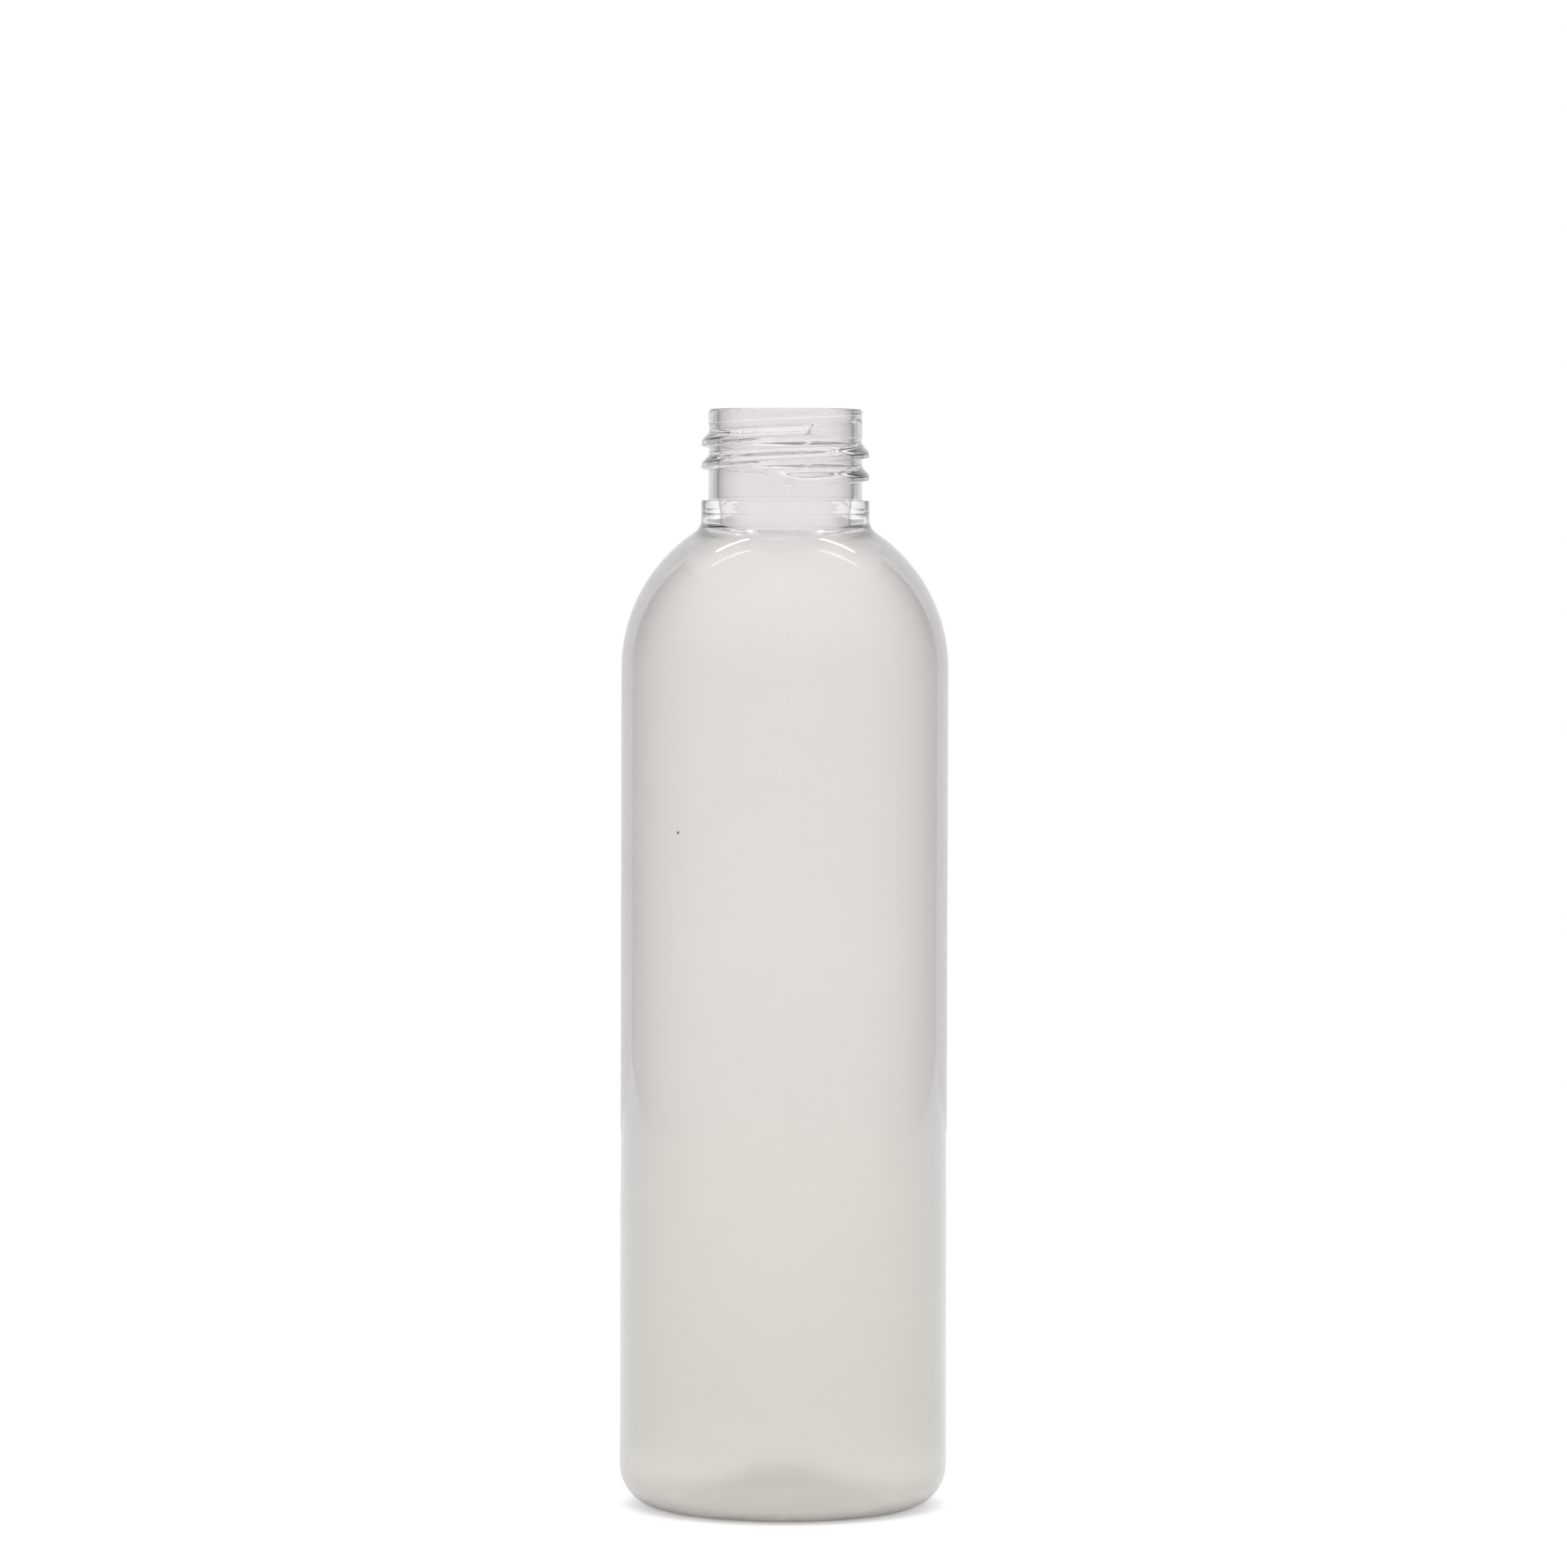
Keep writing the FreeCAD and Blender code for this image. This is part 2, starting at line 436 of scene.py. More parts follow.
@dataclass
class Neck:
    """Neck finish: support ring with its seam, threaded wall, rim, bore and the waist in the bore.

    The draft is in degrees. The wall's grid starts a little above the ring, at wall_start.
    """

    finish_height: float = 16.8
    wall_radius: float = 10.75
    wall_start: float = 0.27
    draft: float = 0.5
    rim_rounding: float = 0.3
    bore_radius: float = 9.65
    waist_radius: float = 9.25
    waist_top: float = 4.1
    waist_top_rounding: float = 8.0
    waist_bottom: float = 1.4
    waist_bottom_rounding: float = 4.0
    ring_radius: float = 11.87
    ring_height: float = 3.9
    ring_rounding: float = 0.08
    seam_drop: float = 2.0
    seam_width: float = 0.3
    seam_rise: float = 0.03
    seam_foot_rounding: float = 0.06
    seam_crest_rounding: float = 0.05
    thread_rows: int = 150
    fine_rows: int = 1600
    bend_weight: float = 0.12
    thread: Thread = field(default_factory=Thread)

    def ring_top(self, top: float) -> float:
        """Height of the support ring's upper face, under a rim at the height of top."""
        return top - self.finish_height + self.ring_height

    def wall_at(self, height: float | np.ndarray, top: float) -> float | np.ndarray:
        """Radius of the wall at a height, which widens downwards by the draft."""
        return self.wall_radius + (top - height) * math.tan(math.radians(self.draft))

    def root_and_ring(self, top: float) -> list[Corner]:
        """Corners from the seam on the ring's side, over the ring, to the start of the wall.

        Args:
            top: height of the rim.

        Returns:
            Radius, height and rounding of each corner.
        """
        ring_top = self.ring_top(top)
        seam, foot = ring_top - self.seam_drop, ring_top + self.wall_start
        return [
            (self.ring_radius, seam - self.seam_width / 2, self.seam_foot_rounding),
            (self.ring_radius + self.seam_rise, seam, self.seam_crest_rounding),
            (self.ring_radius, seam + self.seam_width / 2, self.seam_foot_rounding),
            (self.ring_radius, ring_top, self.ring_rounding),
            (self.wall_at(ring_top, top), ring_top, self.ring_rounding),
            (self.wall_at(foot, top), foot, 0),
        ]

    def rim_and_bore(self, top: float) -> list[Corner]:
        """Corners from the end of the wall, over the rim and down the bore, to the waist.

        Args:
            top: height of the rim.

        Returns:
            Radius, height and rounding of each corner.
        """
        end, bottom = top - self.rim_rounding, top - self.finish_height
        return [
            (self.wall_at(end, top), end, 0),
            (self.wall_radius, top, self.rim_rounding),
            (self.bore_radius, top, self.rim_rounding),
            (self.bore_radius, bottom + self.waist_top, self.waist_top_rounding),
            (self.waist_radius, bottom + self.waist_bottom, self.waist_bottom_rounding),
        ]

    def threaded_wall(self, angle: np.ndarray, top: float) -> tuple[np.ndarray, np.ndarray]:
        """Grid of the wall with the thread, its rows spaced evenly along the surface in every column.

        A fine column of heights gives the profile. Its length, with a little more weight where it
        bends, is added up and cut into equal parts. One interpolation does this for all columns,
        which are laid end to end, each a spacing from the last.

        Args:
            angle: angle of each column, in degrees.
            top: height of the rim.

        Returns:
            Radius and height of each point, rows by columns.
        """
        low, high = self.ring_top(top) + self.wall_start, top - self.rim_rounding
        fine = np.linspace(low, high, self.fine_rows)[None, :]
        radius = self.thread.radius(angle[:, None], fine, self.wall_at(fine, top), top)
        out, up = np.diff(radius, axis=1), np.diff(fine, axis=1)
        slope = np.arctan2(out, up)
        bend = np.abs(np.diff(slope, axis=1, prepend=slope[:, :1]))
        step = np.hypot(out, up) + self.bend_weight * bend
        length = np.cumsum(np.pad(step, ((0, 0), (1, 0))), axis=1)
        share = length / length[:, -1:]
        spacing = 2.0
        column = np.arange(len(angle))[:, None] * spacing
        wanted = np.linspace(0, 1, self.thread_rows)[None, :] + column
        heights = np.broadcast_to(fine, share.shape)
        height = np.interp(wanted.ravel(), (share + column).ravel(), heights.ravel())
        height = height.reshape(len(angle), -1)
        radius = self.thread.radius(angle[:, None], height, self.wall_at(height, top), top)
        return radius.T, height.T


@dataclass(frozen=True)
class ClearPet:
    """Stretch-blown PET: clear and glossy, nearly colourless, with a faint haze where it was stretched.

    To the eye it is a pale grey veil under a crisp shine. The neck, which isn't stretched, is as
    clear as glass, and its bore is darkened by painted shade where the wall is seen edge-on. Down the
    shoulder the wall turns a little milky, which softens all that shows through it, and towards the
    foot its tint turns slightly deeper and warmer.
    """

    name: str = "pet_clear_blown"
    ior: float = 1.575
    neck_tint: str = "#EFECED"
    body_tint: str = "#FDFAF8"
    foot_tint: str = "#F2F0EA"
    # Painted light: a lighter tint at the base, which lifts the shade seen through the foot
    base_painted_light: str = "#FFFCF7"
    # Painted shade where the wall is seen edge-on, set in as the share that it reflects goes over the
    # edge span: inside the neck the first, a dark painted shade along the bore, and on the outside of
    # the body the second, partly the wall's own tint over a longer path and partly painted shade at the rim
    bore_edge_painted_shade: str = "#303030"
    body_edge_tint_and_shade: str = "#E2E0DE"
    edge_shade_span: tuple[float, float] = (0.18, 0.5)
    # Heights over which the blown wall, its haze, the foot's tint and the base's lighter tint set in.
    # The base's lighter tint is painted light, which lifts the shade seen through the foot
    blown_span: tuple[float, float] = (0.139, 0.136)
    haze_span: tuple[float, float] = (0.139, 0.118)
    foot_span: tuple[float, float] = (0.08, 0.02)
    base_painted_light_span: tuple[float, float] = (0.0105, 0.005)
    # Distances from the axis, and from the dome's centre, over which the inside face sets in
    bore_span: tuple[float, float] = (0.0104, 0.0101)
    inside_span: tuple[float, float] = (0.02302, 0.0228)
    dome_centre: float = 0.11873
    # The shine of the bare neck is sharp. The body's inside face blurs what passes through it, and
    # its outside has the neck's sharp shine again, as a coat
    neck_roughness: float = 0.02
    body_roughness: float = 0.24
    body_clarity: float = 0.79
    coat_weight: float = 1.0
    coat_roughness: float = 0.03
    coat_ior: float = 1.5
    # Upright streaks, left by the stretching, make the gloss faintly uneven
    streak_width_mm: float = 2.5
    streak_squeeze: float = 0.08
    streak_detail: float = 3.0
    streak_span: tuple[float, float] = (0.9, 1.1)
    # One dark speck in the wall, on the left
    speck_tint: str = "#1E1616"
    speck_place_mm: tuple[float, float, float] = (-14.8, -17.76, 96.2)
    speck_radius_mm: float = 0.21
    speck_softness: float = 0.3

    def inner_face(
        self, tree: bpy.types.NodeTree, place: bpy.types.Node, blown: bpy.types.NodeSocket
    ) -> bpy.types.NodeSocket:
        """Tells the inside of the blown wall from its outside, by the distance from the dome's centre.

        Below the centre, the distance is taken from the axis.

        Args:
            tree: the material's node tree.
            place: the node that gives X, Y and Z.
            blown: 1 in the blown wall and 0 in the neck.

        Returns:
            1 on the inside of the blown wall, and 0 on its outside and in the neck.
        """
        above = maths(tree, Maths.SUBTRACT, place.outputs["Z"], self.dome_centre)
        above = maths(tree, Maths.MAXIMUM, above, 0.0)
        links = {0: place.outputs["X"], 1: place.outputs["Y"], 2: above}
        bulb = add_node(tree, "ShaderNodeCombineXYZ", links).outputs[0]
        return ramp(tree, distance(tree, bulb), self.inside_span, (0.0, blown))

    def roughness(
        self, tree: bpy.types.NodeTree, coords: bpy.types.NodeSocket, blur: bpy.types.NodeSocket
    ) -> bpy.types.NodeSocket:
        """Roughness of the surface: that of the neck or of the blown wall, times the streaks.

        Args:
            tree: the material's node tree.
            coords: Object coordinates.
            blur: 0 where the wall is as clear as in the neck, and 1 where it is fully blown.

        Returns:
            The roughness.
        """
        scale = (1.0, 1.0, self.streak_squeeze)
        squeezed = add_node(tree, "ShaderNodeMapping", {"Vector": coords, "Scale": scale}).outputs[0]
        noise = add_node(tree, "ShaderNodeTexNoise", {
            "Vector": squeezed, "Scale": 1 / (self.streak_width_mm * MM), "Detail": self.streak_detail,
        })
        streaks = ramp(tree, noise.outputs[0], onto=self.streak_span)
        rough = ramp(tree, blur, onto=(self.neck_roughness, self.body_roughness))
        return maths(tree, Maths.MULTIPLY, rough, streaks)

    def tint(
        self,
        tree: bpy.types.NodeTree,
        place: bpy.types.Node,
        blown: bpy.types.NodeSocket,
        inner: bpy.types.NodeSocket,
    ) -> bpy.types.NodeSocket:
        """Colour of the veil: its flat tints by height, with painted shade where it is seen edge-on, and a
        lighter tint painted at the base.

        Args:
            tree: the material's node tree.
            place: the node that gives X, Y and Z.
            blown: 1 in the blown wall and 0 in the neck.
            inner: 1 on the inside of the blown wall.

        Returns:
            The colour.
        """
        height = place.outputs["Z"]
        links = {0: place.outputs["X"], 1: place.outputs["Y"]}
        across = add_node(tree, "ShaderNodeCombineXYZ", links).outputs[0]
        bore = ramp(tree, distance(tree, across), self.bore_span)
        outer = maths(tree, Maths.SUBTRACT, blown, inner)
        # Painted shade where the wall is seen edge-on, taken from the share that it reflects: dark in the
        # bore, and on the body partly the wall's own tint, partly painted shade
        reflected = add_node(tree, "ShaderNodeFresnel", {"IOR": self.ior}).outputs[0]
        edge = ramp(tree, reflected, self.edge_shade_span, (0.0, mix(tree, blown, bore, outer)))
        foot = ramp(tree, height, self.foot_span)
        body = mix_colours(tree, foot, linear(self.body_tint), linear(self.foot_tint))
        flat = mix_colours(tree, blown, linear(self.neck_tint), body)
        # The edge-on painted shade: dark for the bore, paler for the body's rim
        edge_shades = mix_colours(tree, blown, linear(self.bore_edge_painted_shade), linear(self.body_edge_tint_and_shade))
        veil = mix_colours(tree, edge, flat, edge_shades)
        # Painted light: at the base the veil turns to a lighter tint, lifting the shade seen there
        return mix_colours(tree, ramp(tree, height, self.base_painted_light_span), veil, linear(self.base_painted_light))

    def speckled(
        self, tree: bpy.types.NodeTree, coords: bpy.types.NodeSocket, veil: bpy.types.NodeSocket
    ) -> bpy.types.NodeSocket:
        """Colour of the veil with the speck in it: a small ball round its place, soft at its edge.

        Args:
            tree: the material's node tree.
            coords: Object coordinates.
            veil: the colour without the speck.

        Returns:
            The colour with it.
        """
        radius = self.speck_radius_mm * MM
        away = distance(tree, coords, tuple(value * MM for value in self.speck_place_mm))
        within = ramp(tree, away, ((1 + self.speck_softness) * radius, (1 - self.speck_softness) * radius))
        return mix_colours(tree, within, veil, linear(self.speck_tint))

    def build(self) -> bpy.types.Material:
        """Makes the material.

        Returns:
            The material, ready for a mesh.
        """
        material = bpy.data.materials.new(self.name)
        tree = empty_tree(material)
        coords = add_node(tree, "ShaderNodeTexCoord").outputs["Object"]
        place = add_node(tree, "ShaderNodeSeparateXYZ", {0: coords})
        blown = ramp(tree, place.outputs["Z"], self.blown_span, soft=True)
        haze = ramp(tree, place.outputs["Z"], self.haze_span, soft=True)
        inner = self.inner_face(tree, place, blown)
        veil = self.tint(tree, place, blown, inner)
        shader = add_node(tree, "ShaderNodeBsdfPrincipled", {
            "Base Color": self.speckled(tree, coords, veil),
            "Roughness": self.roughness(tree, coords, maths(tree, Maths.MAXIMUM, haze, inner)),
            "IOR": self.ior,
            "Transmission Weight": ramp(tree, haze, onto=(1.0, self.body_clarity)),
            "Coat Weight": self.coat_weight,
            "Coat Roughness": self.coat_roughness,
            "Coat IOR": self.coat_ior,
        })
        add_node(tree, "ShaderNodeOutputMaterial", {"Surface": shader.outputs[0]})
        return material


@dataclass
class Bottle:
    """The whole moulding as one closed skin, outside and inside, turned about its axis.

    Angles are in degrees, steps and points are counts on an arc, and a piece is the greatest length
    between two rows on a straight run.
    """

    height: float
    foot_radius: float
    foot_band_step: float = 0.085
    foot_band_top: float = 41.0
    foot_band_ease: float = 9.0
    foot_band_rounding: float = 60.0
    body_wall: float = 0.55
    shoulder_top_wall: float = 1.8
    root_angle: float = 54.0
    flare_angle: float = 61.0
    root_rounding: float = 2.2
    heel_steps: int = 14
    floor_steps: int = 12
    outer_dome_points: int = 52
    inner_dome_points: int = 44
    body_piece: float = 4.0
    floor_piece: float = 6.0
    ring_piece: float = 0.8
    bore_piece: float = 1.5
    columns: int = 180
    foot: Foot = field(default_factory=Foot)
    neck: Neck = field(default_factory=Neck)
    finish: ClearPet = field(default_factory=ClearPet)

    @property
    def panel_radius(self) -> float:
        """Outer radius of the body above the foot band."""
        return self.foot_radius - self.foot_band_step

    @property
    def shoulder_base(self) -> float:
        """Height of the dome's centre: the dome meets the support ring at the foot of the neck."""
        rise = math.sqrt(self.panel_radius**2 - self.neck.ring_radius**2)
        return self.height - self.neck.finish_height - rise

    def outside(self) -> np.ndarray:
        """Section of the outside, from the axis under the foot to the corner above the support ring.

        Returns:
            Rows of radius and height.
        """
        base, end = self.shoulder_base, math.radians(self.root_angle)
        low = rounded_path([
            *self.foot.outside(self.foot_radius),
            (self.foot_radius, self.foot_band_top, self.foot_band_rounding),
            (self.panel_radius, self.foot_band_top + self.foot_band_ease, self.foot_band_rounding),
            (self.panel_radius, base, 0),
        ], self.heel_steps)
        curve = dome(self.panel_radius, base, 0, end, self.outer_dome_points)
        corner = dome_tangent(self.panel_radius, base, end, self.neck.ring_radius, self.root_rounding)
        ring = rounded_path([(*curve[-1], 0), corner, *self.neck.root_and_ring(self.height)])
        return np.vstack([
            refined(low, self.body_piece), curve[1:-1], refined(ring, self.ring_piece)[:-1]
        ])

    def inside(self) -> np.ndarray:
        """Section of the inside, from the rim's outer rounding down the bore to the axis on the floor.

        Its dome sits lower than the outer one, so the wall thins from the neck down to the body.

        Returns:
            Rows of radius and height.
        """
        radius = self.panel_radius - self.body_wall
        base = self.shoulder_base + self.body_wall - self.shoulder_top_wall
        start = math.radians(self.flare_angle)
        curve = dome(radius, base, start, 0, self.inner_dome_points)
        corner = dome_tangent(radius, base, start, self.neck.waist_radius, self.root_rounding)
        rim = rounded_path([*self.neck.rim_and_bore(self.height), corner, (*curve[0], 0)])
        floor = rounded_path([
            (radius, base, 0),
            *self.foot.inside(self.foot_radius, radius, self.body_wall),
        ], self.floor_steps)
        return np.vstack([
            refined(rim, self.bore_piece)[1:], curve[1:-1], refined(floor, self.floor_piece)
        ])

    def grid(self) -> tuple[np.ndarray, np.ndarray]:
        """Grid of the closed skin, and the two poles that close it on the axis.

        A point is radius * cos(angle), radius * sin(angle), height. The angle goes round with the
        columns, and radius and height follow the rows: up the outside, up the threaded wall, and
        from the rim down the inside.

        Returns:
            Points, rows by columns by three, and the poles under the foot and on the floor.
        """
        angle = np.arange(self.columns) * (FULL_TURN / self.columns)
        outside, inside = self.outside(), self.inside()
        radius, height = self.neck.threaded_wall(angle, self.height)
        flat = np.ones((1, self.columns))
        radius = np.vstack([outside[1:, :1] * flat, radius, inside[:-1, :1] * flat])
        height = np.vstack([outside[1:, 1:] * flat, height, inside[:-1, 1:] * flat])
        turn = np.radians(angle)[None, :]
        points = np.stack([radius * np.cos(turn), radius * np.sin(turn), height], axis=2)
        poles = np.array([[0, 0, outside[0, 1]], [0, 0, inside[-1, 1]]])
        return points, poles

    def build(self) -> bpy.types.Object:
        """Makes the mesh: quads between the grid's rows and columns, and triangles round each pole.

        Returns:
            The piece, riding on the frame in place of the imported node.
        """
        points, poles = self.grid()
        rows, columns = points.shape[:2]
        index = np.arange(rows * columns).reshape(rows, columns)
        right = np.roll(index, -1, axis=1)
        quads = np.stack([index[:-1], right[:-1], right[1:], index[1:]], axis=2).reshape(-1, 4)
        lower = np.stack([np.full(columns, index.size), right[0], index[0]], axis=1)
        upper = np.stack([np.full(columns, index.size + 1), index[-1], right[-1]], axis=1)
        skin = np.vstack([points.reshape(-1, 3), poles]) * MM
        mesh = bpy.data.meshes.new("bottle_skin")
        mesh.from_pydata(skin.tolist(), [], quads.tolist() + lower.tolist() + upper.tolist())
        mesh.polygons.foreach_set("use_smooth", np.ones(len(mesh.polygons), bool))
        mesh.materials.append(self.finish.build())
        mesh.update()
        piece = add_object("bottle_skin", mesh)
        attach(piece, "root")
        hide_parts(NODE)
        return piece


@dataclass(frozen=True)
class WhiteBoard:
    """Matt white board with a little light of its own, so that it melts into the white behind it.

    Seen through the bottle it is paler close to the bottle: a painted light there that fills in the bottle's
    shadow.
    """

    name: str = "board_white_matt"
    colour: str = "#F2F2F2"
    lift: float = 0.3
    # Painted light near the bottle, for rays through it, that fills in the bottle's shadow on the board
    near_painted_fill: float = 0.55
    near_painted_fill_span: tuple[float, float] = (0.055, 0.025)

    def build(self) -> bpy.types.Material:
        """Makes the material. Its own light is for the camera and for rays through the bottle.

        Returns:
            The material, ready for a mesh.
        """
        material = bpy.data.materials.new(self.name)
        tree = empty_tree(material)
        rays = add_node(tree, "ShaderNodeLightPath")
        coords = add_node(tree, "ShaderNodeTexCoord").outputs["Object"]
        # Painted light: near the bottle the board glows more for rays through the bottle, filling in its
        # shadow
        painted_fill = ramp(tree, distance(tree, coords), self.near_painted_fill_span, (self.lift, self.near_painted_fill), soft=True)
        plain = maths(tree, Maths.MULTIPLY, rays.outputs[Ray.CAMERA.value], self.lift)
        lift = mix(tree, rays.outputs[Ray.TRANSMISSION.value], plain, painted_fill)
        matt = add_node(tree, "ShaderNodeBsdfDiffuse", {"Color": linear(self.colour)})
        glow = add_node(tree, "ShaderNodeEmission", {"Color": linear("#FFFFFF"), "Strength": lift})
        both = add_node(tree, "ShaderNodeAddShader", {0: matt.outputs[0], 1: glow.outputs[0]})
        add_node(tree, "ShaderNodeOutputMaterial", {"Surface": both.outputs[0]})
        return material


@dataclass
class Tent:
    """Surroundings: white to the camera, a light tent to shine and to bent rays, and a softer fill.

    Bent rays are those that have passed through the wall. The tent is worked out from a direction's
    x, y and z. Levels are brightnesses, where 1 is white.
    """

    fill_level: float = 0.95
    # Back and ceiling: their width, how far they reach past the sides, and how soft they end
    width: float = 0.95
    front: float = 0.12
    blur: float = 0.03
    # Brightness of the back: even in the shine, and fading aside for bent rays
    shine_level: float = 0.79
    fade_span: tuple[float, float] = (0.1, 0.4)
    fade_level: float = 0.62
    # Brightness of the sides: in the shine darker above, for bent rays even, and both paler in front
    side_level: float = 0.45
    upper_side_level: float = 0.2
    upper_side_height: float = 0.3
    bent_side_level: float = 0.5
    front_span: tuple[float, float] = (0.7, -0.4)
    front_level: float = 1.0

    def white_share(
        self, tree: bpy.types.NodeTree, way: bpy.types.Node, aside: bpy.types.NodeSocket
    ) -> bpy.types.NodeSocket:
        """Share of the back and the ceiling in a direction.

        A direction meets them where y is above minus the front, and |x| is less than the width
        times the larger of y and z.

        Args:
            tree: the world's node tree.
            way: the node that gives the direction's X, Y and Z.
            aside: |x|.

        Returns:
            1 on the back and the ceiling, and 0 on the sides and the front.
        """
        facing = maths(tree, Maths.MAXIMUM, way.outputs["Y"], way.outputs["Z"])
        reach = maths(tree, Maths.MULTIPLY, facing, self.width)
        past = maths(tree, Maths.SUBTRACT, aside, reach)
        within = ramp(tree, past, (-self.blur, self.blur), (1.0, 0.0), soft=True)
        span = (-self.front - self.blur, -self.front + self.blur)
        behind = ramp(tree, way.outputs["Y"], span, soft=True)
        return maths(tree, Maths.MULTIPLY, within, behind)

    def back(
        self,
        tree: bpy.types.NodeTree,
        way: bpy.types.Node,
        aside: bpy.types.NodeSocket,
        through: bpy.types.NodeSocket,
    ) -> bpy.types.NodeSocket:
        """Brightness of the back and the ceiling.

        For bent rays it falls off with |x| less z, where z is above 0, so the ceiling stays white.

        Args:
            tree: the world's node tree.
            way: the node that gives the direction's X, Y and Z.
            aside: |x|.
            through: 1 for a bent ray and 0 for the shine.

        Returns:
            The brightness.
        """
        lifted = maths(tree, Maths.MAXIMUM, way.outputs["Z"], 0.0)
        outward = maths(tree, Maths.SUBTRACT, aside, lifted)
        faded = ramp(tree, outward, self.fade_span, (1.0, self.fade_level), soft=True)
        return mix(tree, through, self.shine_level, faded)

    def sides(
        self, tree: bpy.types.NodeTree, way: bpy.types.Node, through: bpy.types.NodeSocket
    ) -> bpy.types.NodeSocket:
        """Brightness of the sides, which rises to that of the front.

        Args:
            tree: the world's node tree.
            way: the node that gives the direction's X, Y and Z.
            through: 1 for a bent ray and 0 for the shine.

        Returns:
            The brightness.
        """
        levels = (self.side_level, self.upper_side_level)
        upper = ramp(tree, way.outputs["Z"], (0.0, self.upper_side_height), levels)
        side = mix(tree, through, upper, self.bent_side_level)
        return ramp(tree, way.outputs["Y"], self.front_span, (side, self.front_level))

    def build(self) -> bpy.types.World:
        """Makes the world and hangs it in the scene.

        Returns:
            The world.
        """
        world = bpy.data.worlds.new("studio")
        tree = empty_tree(world)
        rays = add_node(tree, "ShaderNodeLightPath")
        through = rays.outputs[Ray.TRANSMISSION.value]
        coords = add_node(tree, "ShaderNodeTexCoord")
        way = add_node(tree, "ShaderNodeSeparateXYZ", {0: coords.outputs["Generated"]})
        aside = maths(tree, Maths.ABSOLUTE, way.outputs["X"])
        share = self.white_share(tree, way, aside)
        tent = mix(tree, share, self.sides(tree, way, through), self.back(tree, way, aside, through))
        plain = mix(tree, rays.outputs[Ray.CAMERA.value], self.fill_level, 1.0)
        shiny = maths(tree, Maths.MAXIMUM, rays.outputs[Ray.GLOSSY.value], through)
        links = {"Color": linear("#FFFFFF"), "Strength": mix(tree, shiny, plain, tent)}
        background = add_node(tree, "ShaderNodeBackground", links)
        add_node(tree, "ShaderNodeOutputWorld", {"Surface": background.outputs[0]})
        bpy.context.scene.world = world
        return world


@dataclass
class SoftLamp:
    """Rectangular soft lamp that faces a point. Its width follows a direction, and its power is in watts."""

    name: str
    place: Vector
    aim: Vector
    along: Vector
    size: tuple[float, float]
    power: float

    def build(self) -> bpy.types.Object:
        """Hangs the lamp.

        Returns:
            The lamp.
        """
        light = bpy.data.lights.new(self.name, "AREA")
        light.shape = "RECTANGLE"
        light.size, light.size_y = self.size
        light.energy = self.power
        lamp = add_object(self.name, light)
        lamp.location = self.place
        away = (self.place - self.aim).normalized()
        across = away.cross(self.along).normalized()
        lamp.rotation_euler = Matrix((across.cross(away), across, away)).transposed().to_euler()
        return lamp


@dataclass
class Camera:
    """Camera with the photograph's viewing angle: level with the neck, tipped so that it is framed.

    The lean of the picture is in degrees, the sensor's width in millimetres, and sizes that end in
    _px in pixels of the photograph.
    """

    aside: float = -0.00015
    height: float = 0.1403
    distance: float = 1.0
    focal_px: float = 8720.0
    picture_height_px: float = 1932.0
    eye_level_px: float = 635.0
    lean: float = 0.16
    sensor_width: float = 36.0
    clip_end: float = 50.0

    def build(self) -> bpy.types.Object:
        """Sets up the camera and makes it the scene's.

        Returns:
            The camera.
        """
        data = bpy.data.cameras.new("camera")
        data.sensor_width = self.sensor_width
        data.lens = self.focal_px / self.picture_height_px * self.sensor_width
        data.clip_end = self.clip_end
        pitch = math.atan((self.picture_height_px / 2 - self.eye_level_px) / self.focal_px)
        tip, lean = Euler((math.pi / 2 - pitch, 0, 0)), Euler((0, 0, math.radians(self.lean)))
        camera = add_object("camera", data)
        camera.location = (self.aside, -self.distance, self.height)
        camera.rotation_euler = (tip.to_matrix() @ lean.to_matrix()).to_euler()
        bpy.context.scene.camera = camera
        return camera


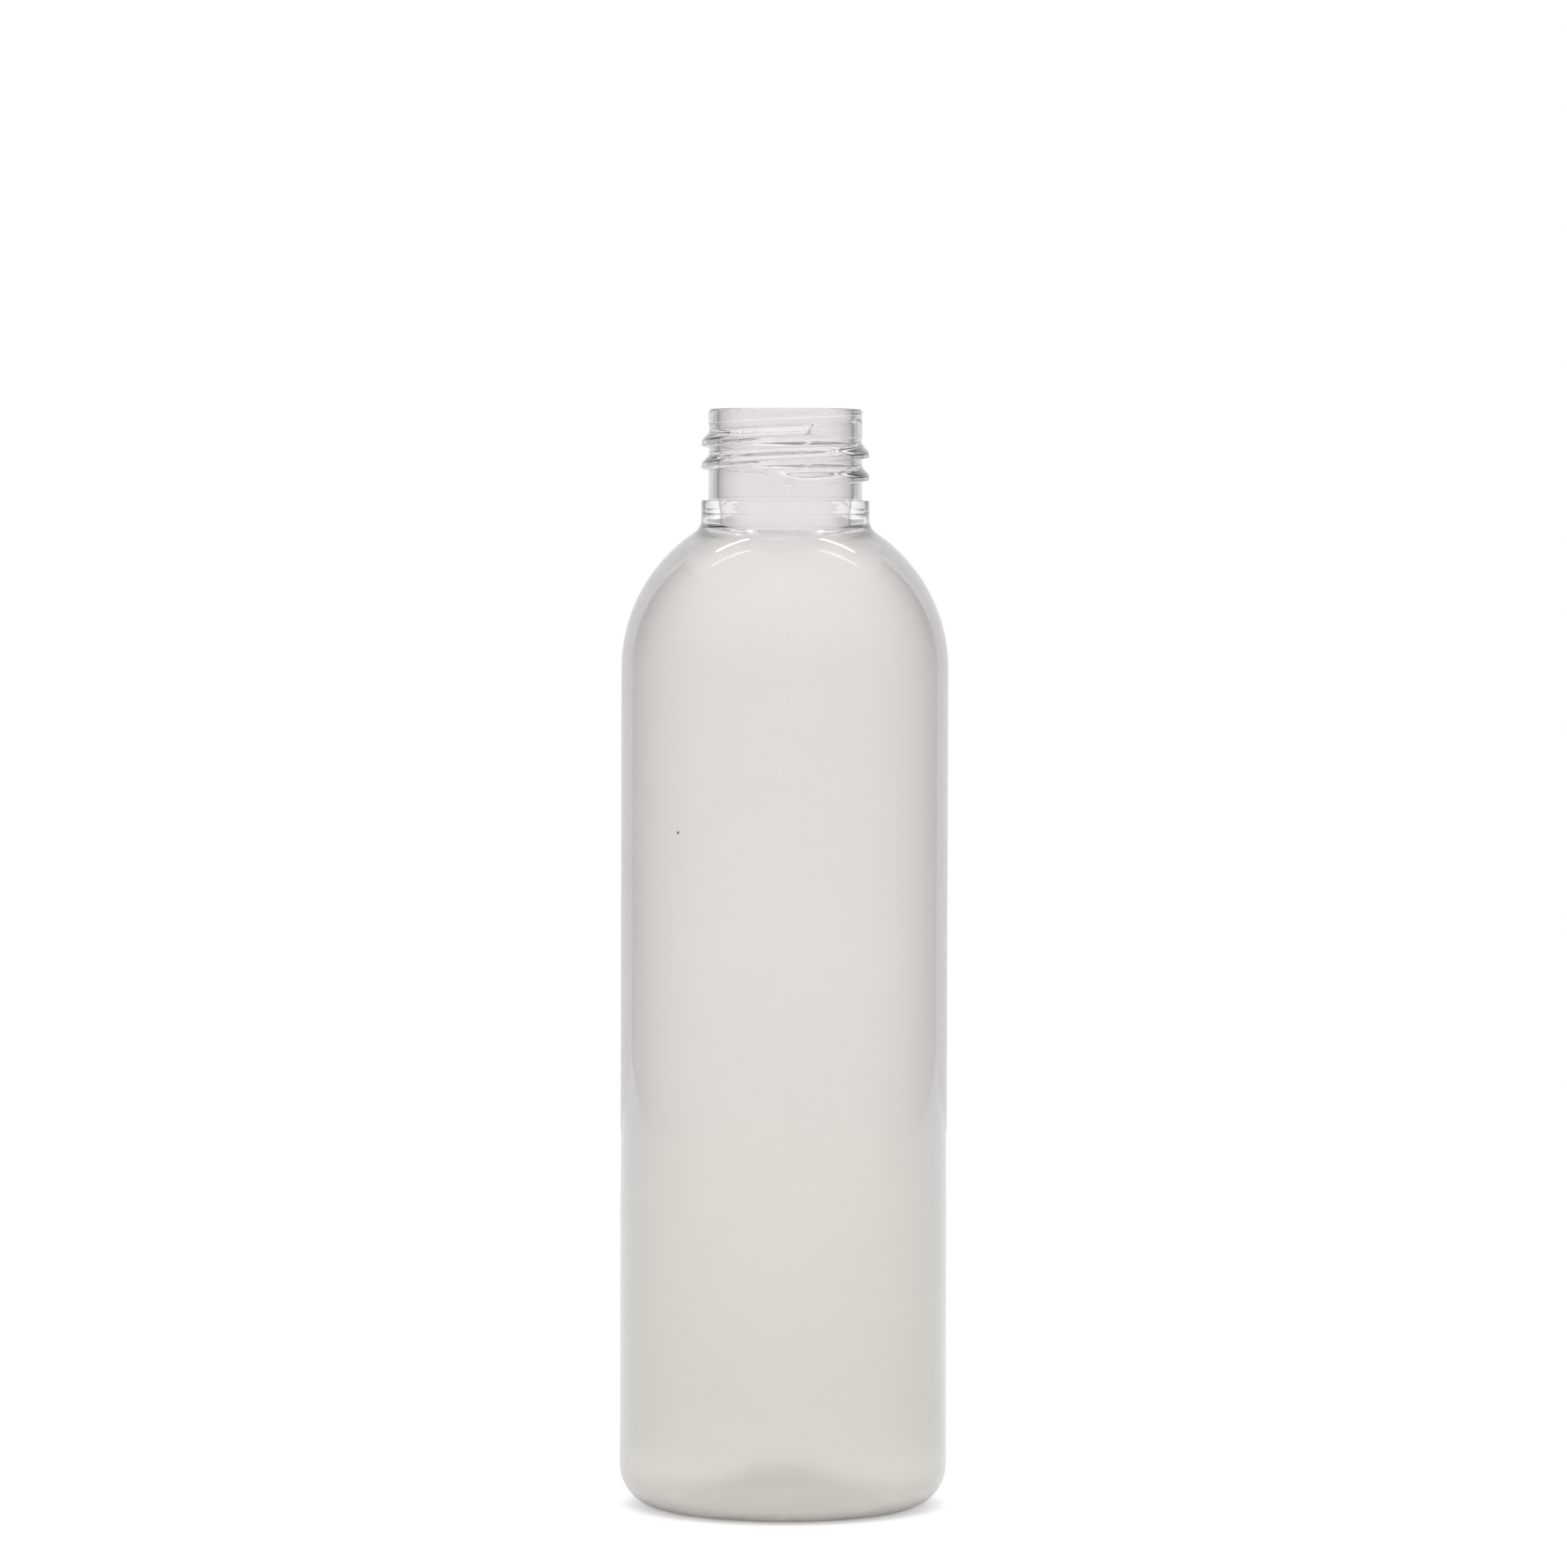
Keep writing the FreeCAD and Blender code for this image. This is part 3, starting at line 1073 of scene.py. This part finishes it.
@dataclass
class Studio:
    """White surroundings and floor, soft lamps, and a long lens where the photograph's was."""

    floor_size: float = 1.2
    aim_height: float = 0.1
    # Inner and outer end of the right strip. The left one is its mirror image
    strip_ends: tuple[tuple[float, float, float], ...] = ((0.25, 0.365, 1.119), (0.57, 0.44, 1.119))
    strip_width: float = 0.035
    strip_power: float = 0.25
    soft_place: tuple[float, float, float] = (0.0, -0.8, 1.7)
    soft_size: float = 1.2
    soft_power: float = 8.0
    tent: Tent = field(default_factory=Tent)
    board: WhiteBoard = field(default_factory=WhiteBoard)
    camera: Camera = field(default_factory=Camera)

    def floor(self) -> bpy.types.Object:
        """Lays the wide pale floor, which renders white and still takes the bottle's soft shadow.

        Returns:
            The floor.
        """
        half = self.floor_size / 2
        corners = [(-half, -half, 0), (half, -half, 0), (half, half, 0), (-half, half, 0)]
        mesh = bpy.data.meshes.new("floor")
        mesh.from_pydata(corners, [], [(0, 1, 2, 3)])
        mesh.materials.append(self.board.build())
        floor = add_object("floor", mesh)
        return floor

    def lamps(self) -> list[bpy.types.Object]:
        """Hangs two strips behind, seen as streaks on the shoulder, and a soft lamp over the camera.

        Returns:
            The lamps.
        """
        aim = Vector((0, 0, self.aim_height))
        made = []
        for side, name in ((-1, "strip_left"), (1, "strip_right")):
            inner, outer = (Vector((side * x, y, z)) for x, y, z in self.strip_ends)
            along, middle = outer - inner, (inner + outer) / 2
            size = (along.length, self.strip_width)
            strip = SoftLamp(name, middle, aim, along, size, self.strip_power).build()
            strip.visible_diffuse = False
            made.append(strip)
        size = (self.soft_size, self.soft_size)
        place, along = Vector(self.soft_place), Vector((1, 0, 0))
        soft = SoftLamp("soft_top", place, aim, along, size, self.soft_power).build()
        soft.visible_glossy = False
        soft.visible_transmission = False
        return [*made, soft]

    def build(self) -> list[bpy.types.Object]:
        """Sets up the surroundings, the floor, the lamps and the camera.

        Returns:
            What stands in the scene for them.
        """
        self.tent.build()
        made = [self.floor(), *self.lamps(), self.camera.build()]
        bpy.context.scene.view_settings.view_transform = "Standard"
        return made


def main() -> None:
    """Builds the bottle and its studio."""
    logging.basicConfig(level=logging.INFO, format="%(name)s: %(message)s")
    low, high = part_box(NODE)
    piece = Bottle(height=high.z / MM, foot_radius=(high.x - low.x) / 2 / MM).build()
    LOG.info("%s: %d vertices, %d faces", piece.name, len(piece.data.vertices), len(piece.data.polygons))
    for thing in Studio().build():
        LOG.info("%s: in place", thing.name)


if __name__ == "__main__":
    main()
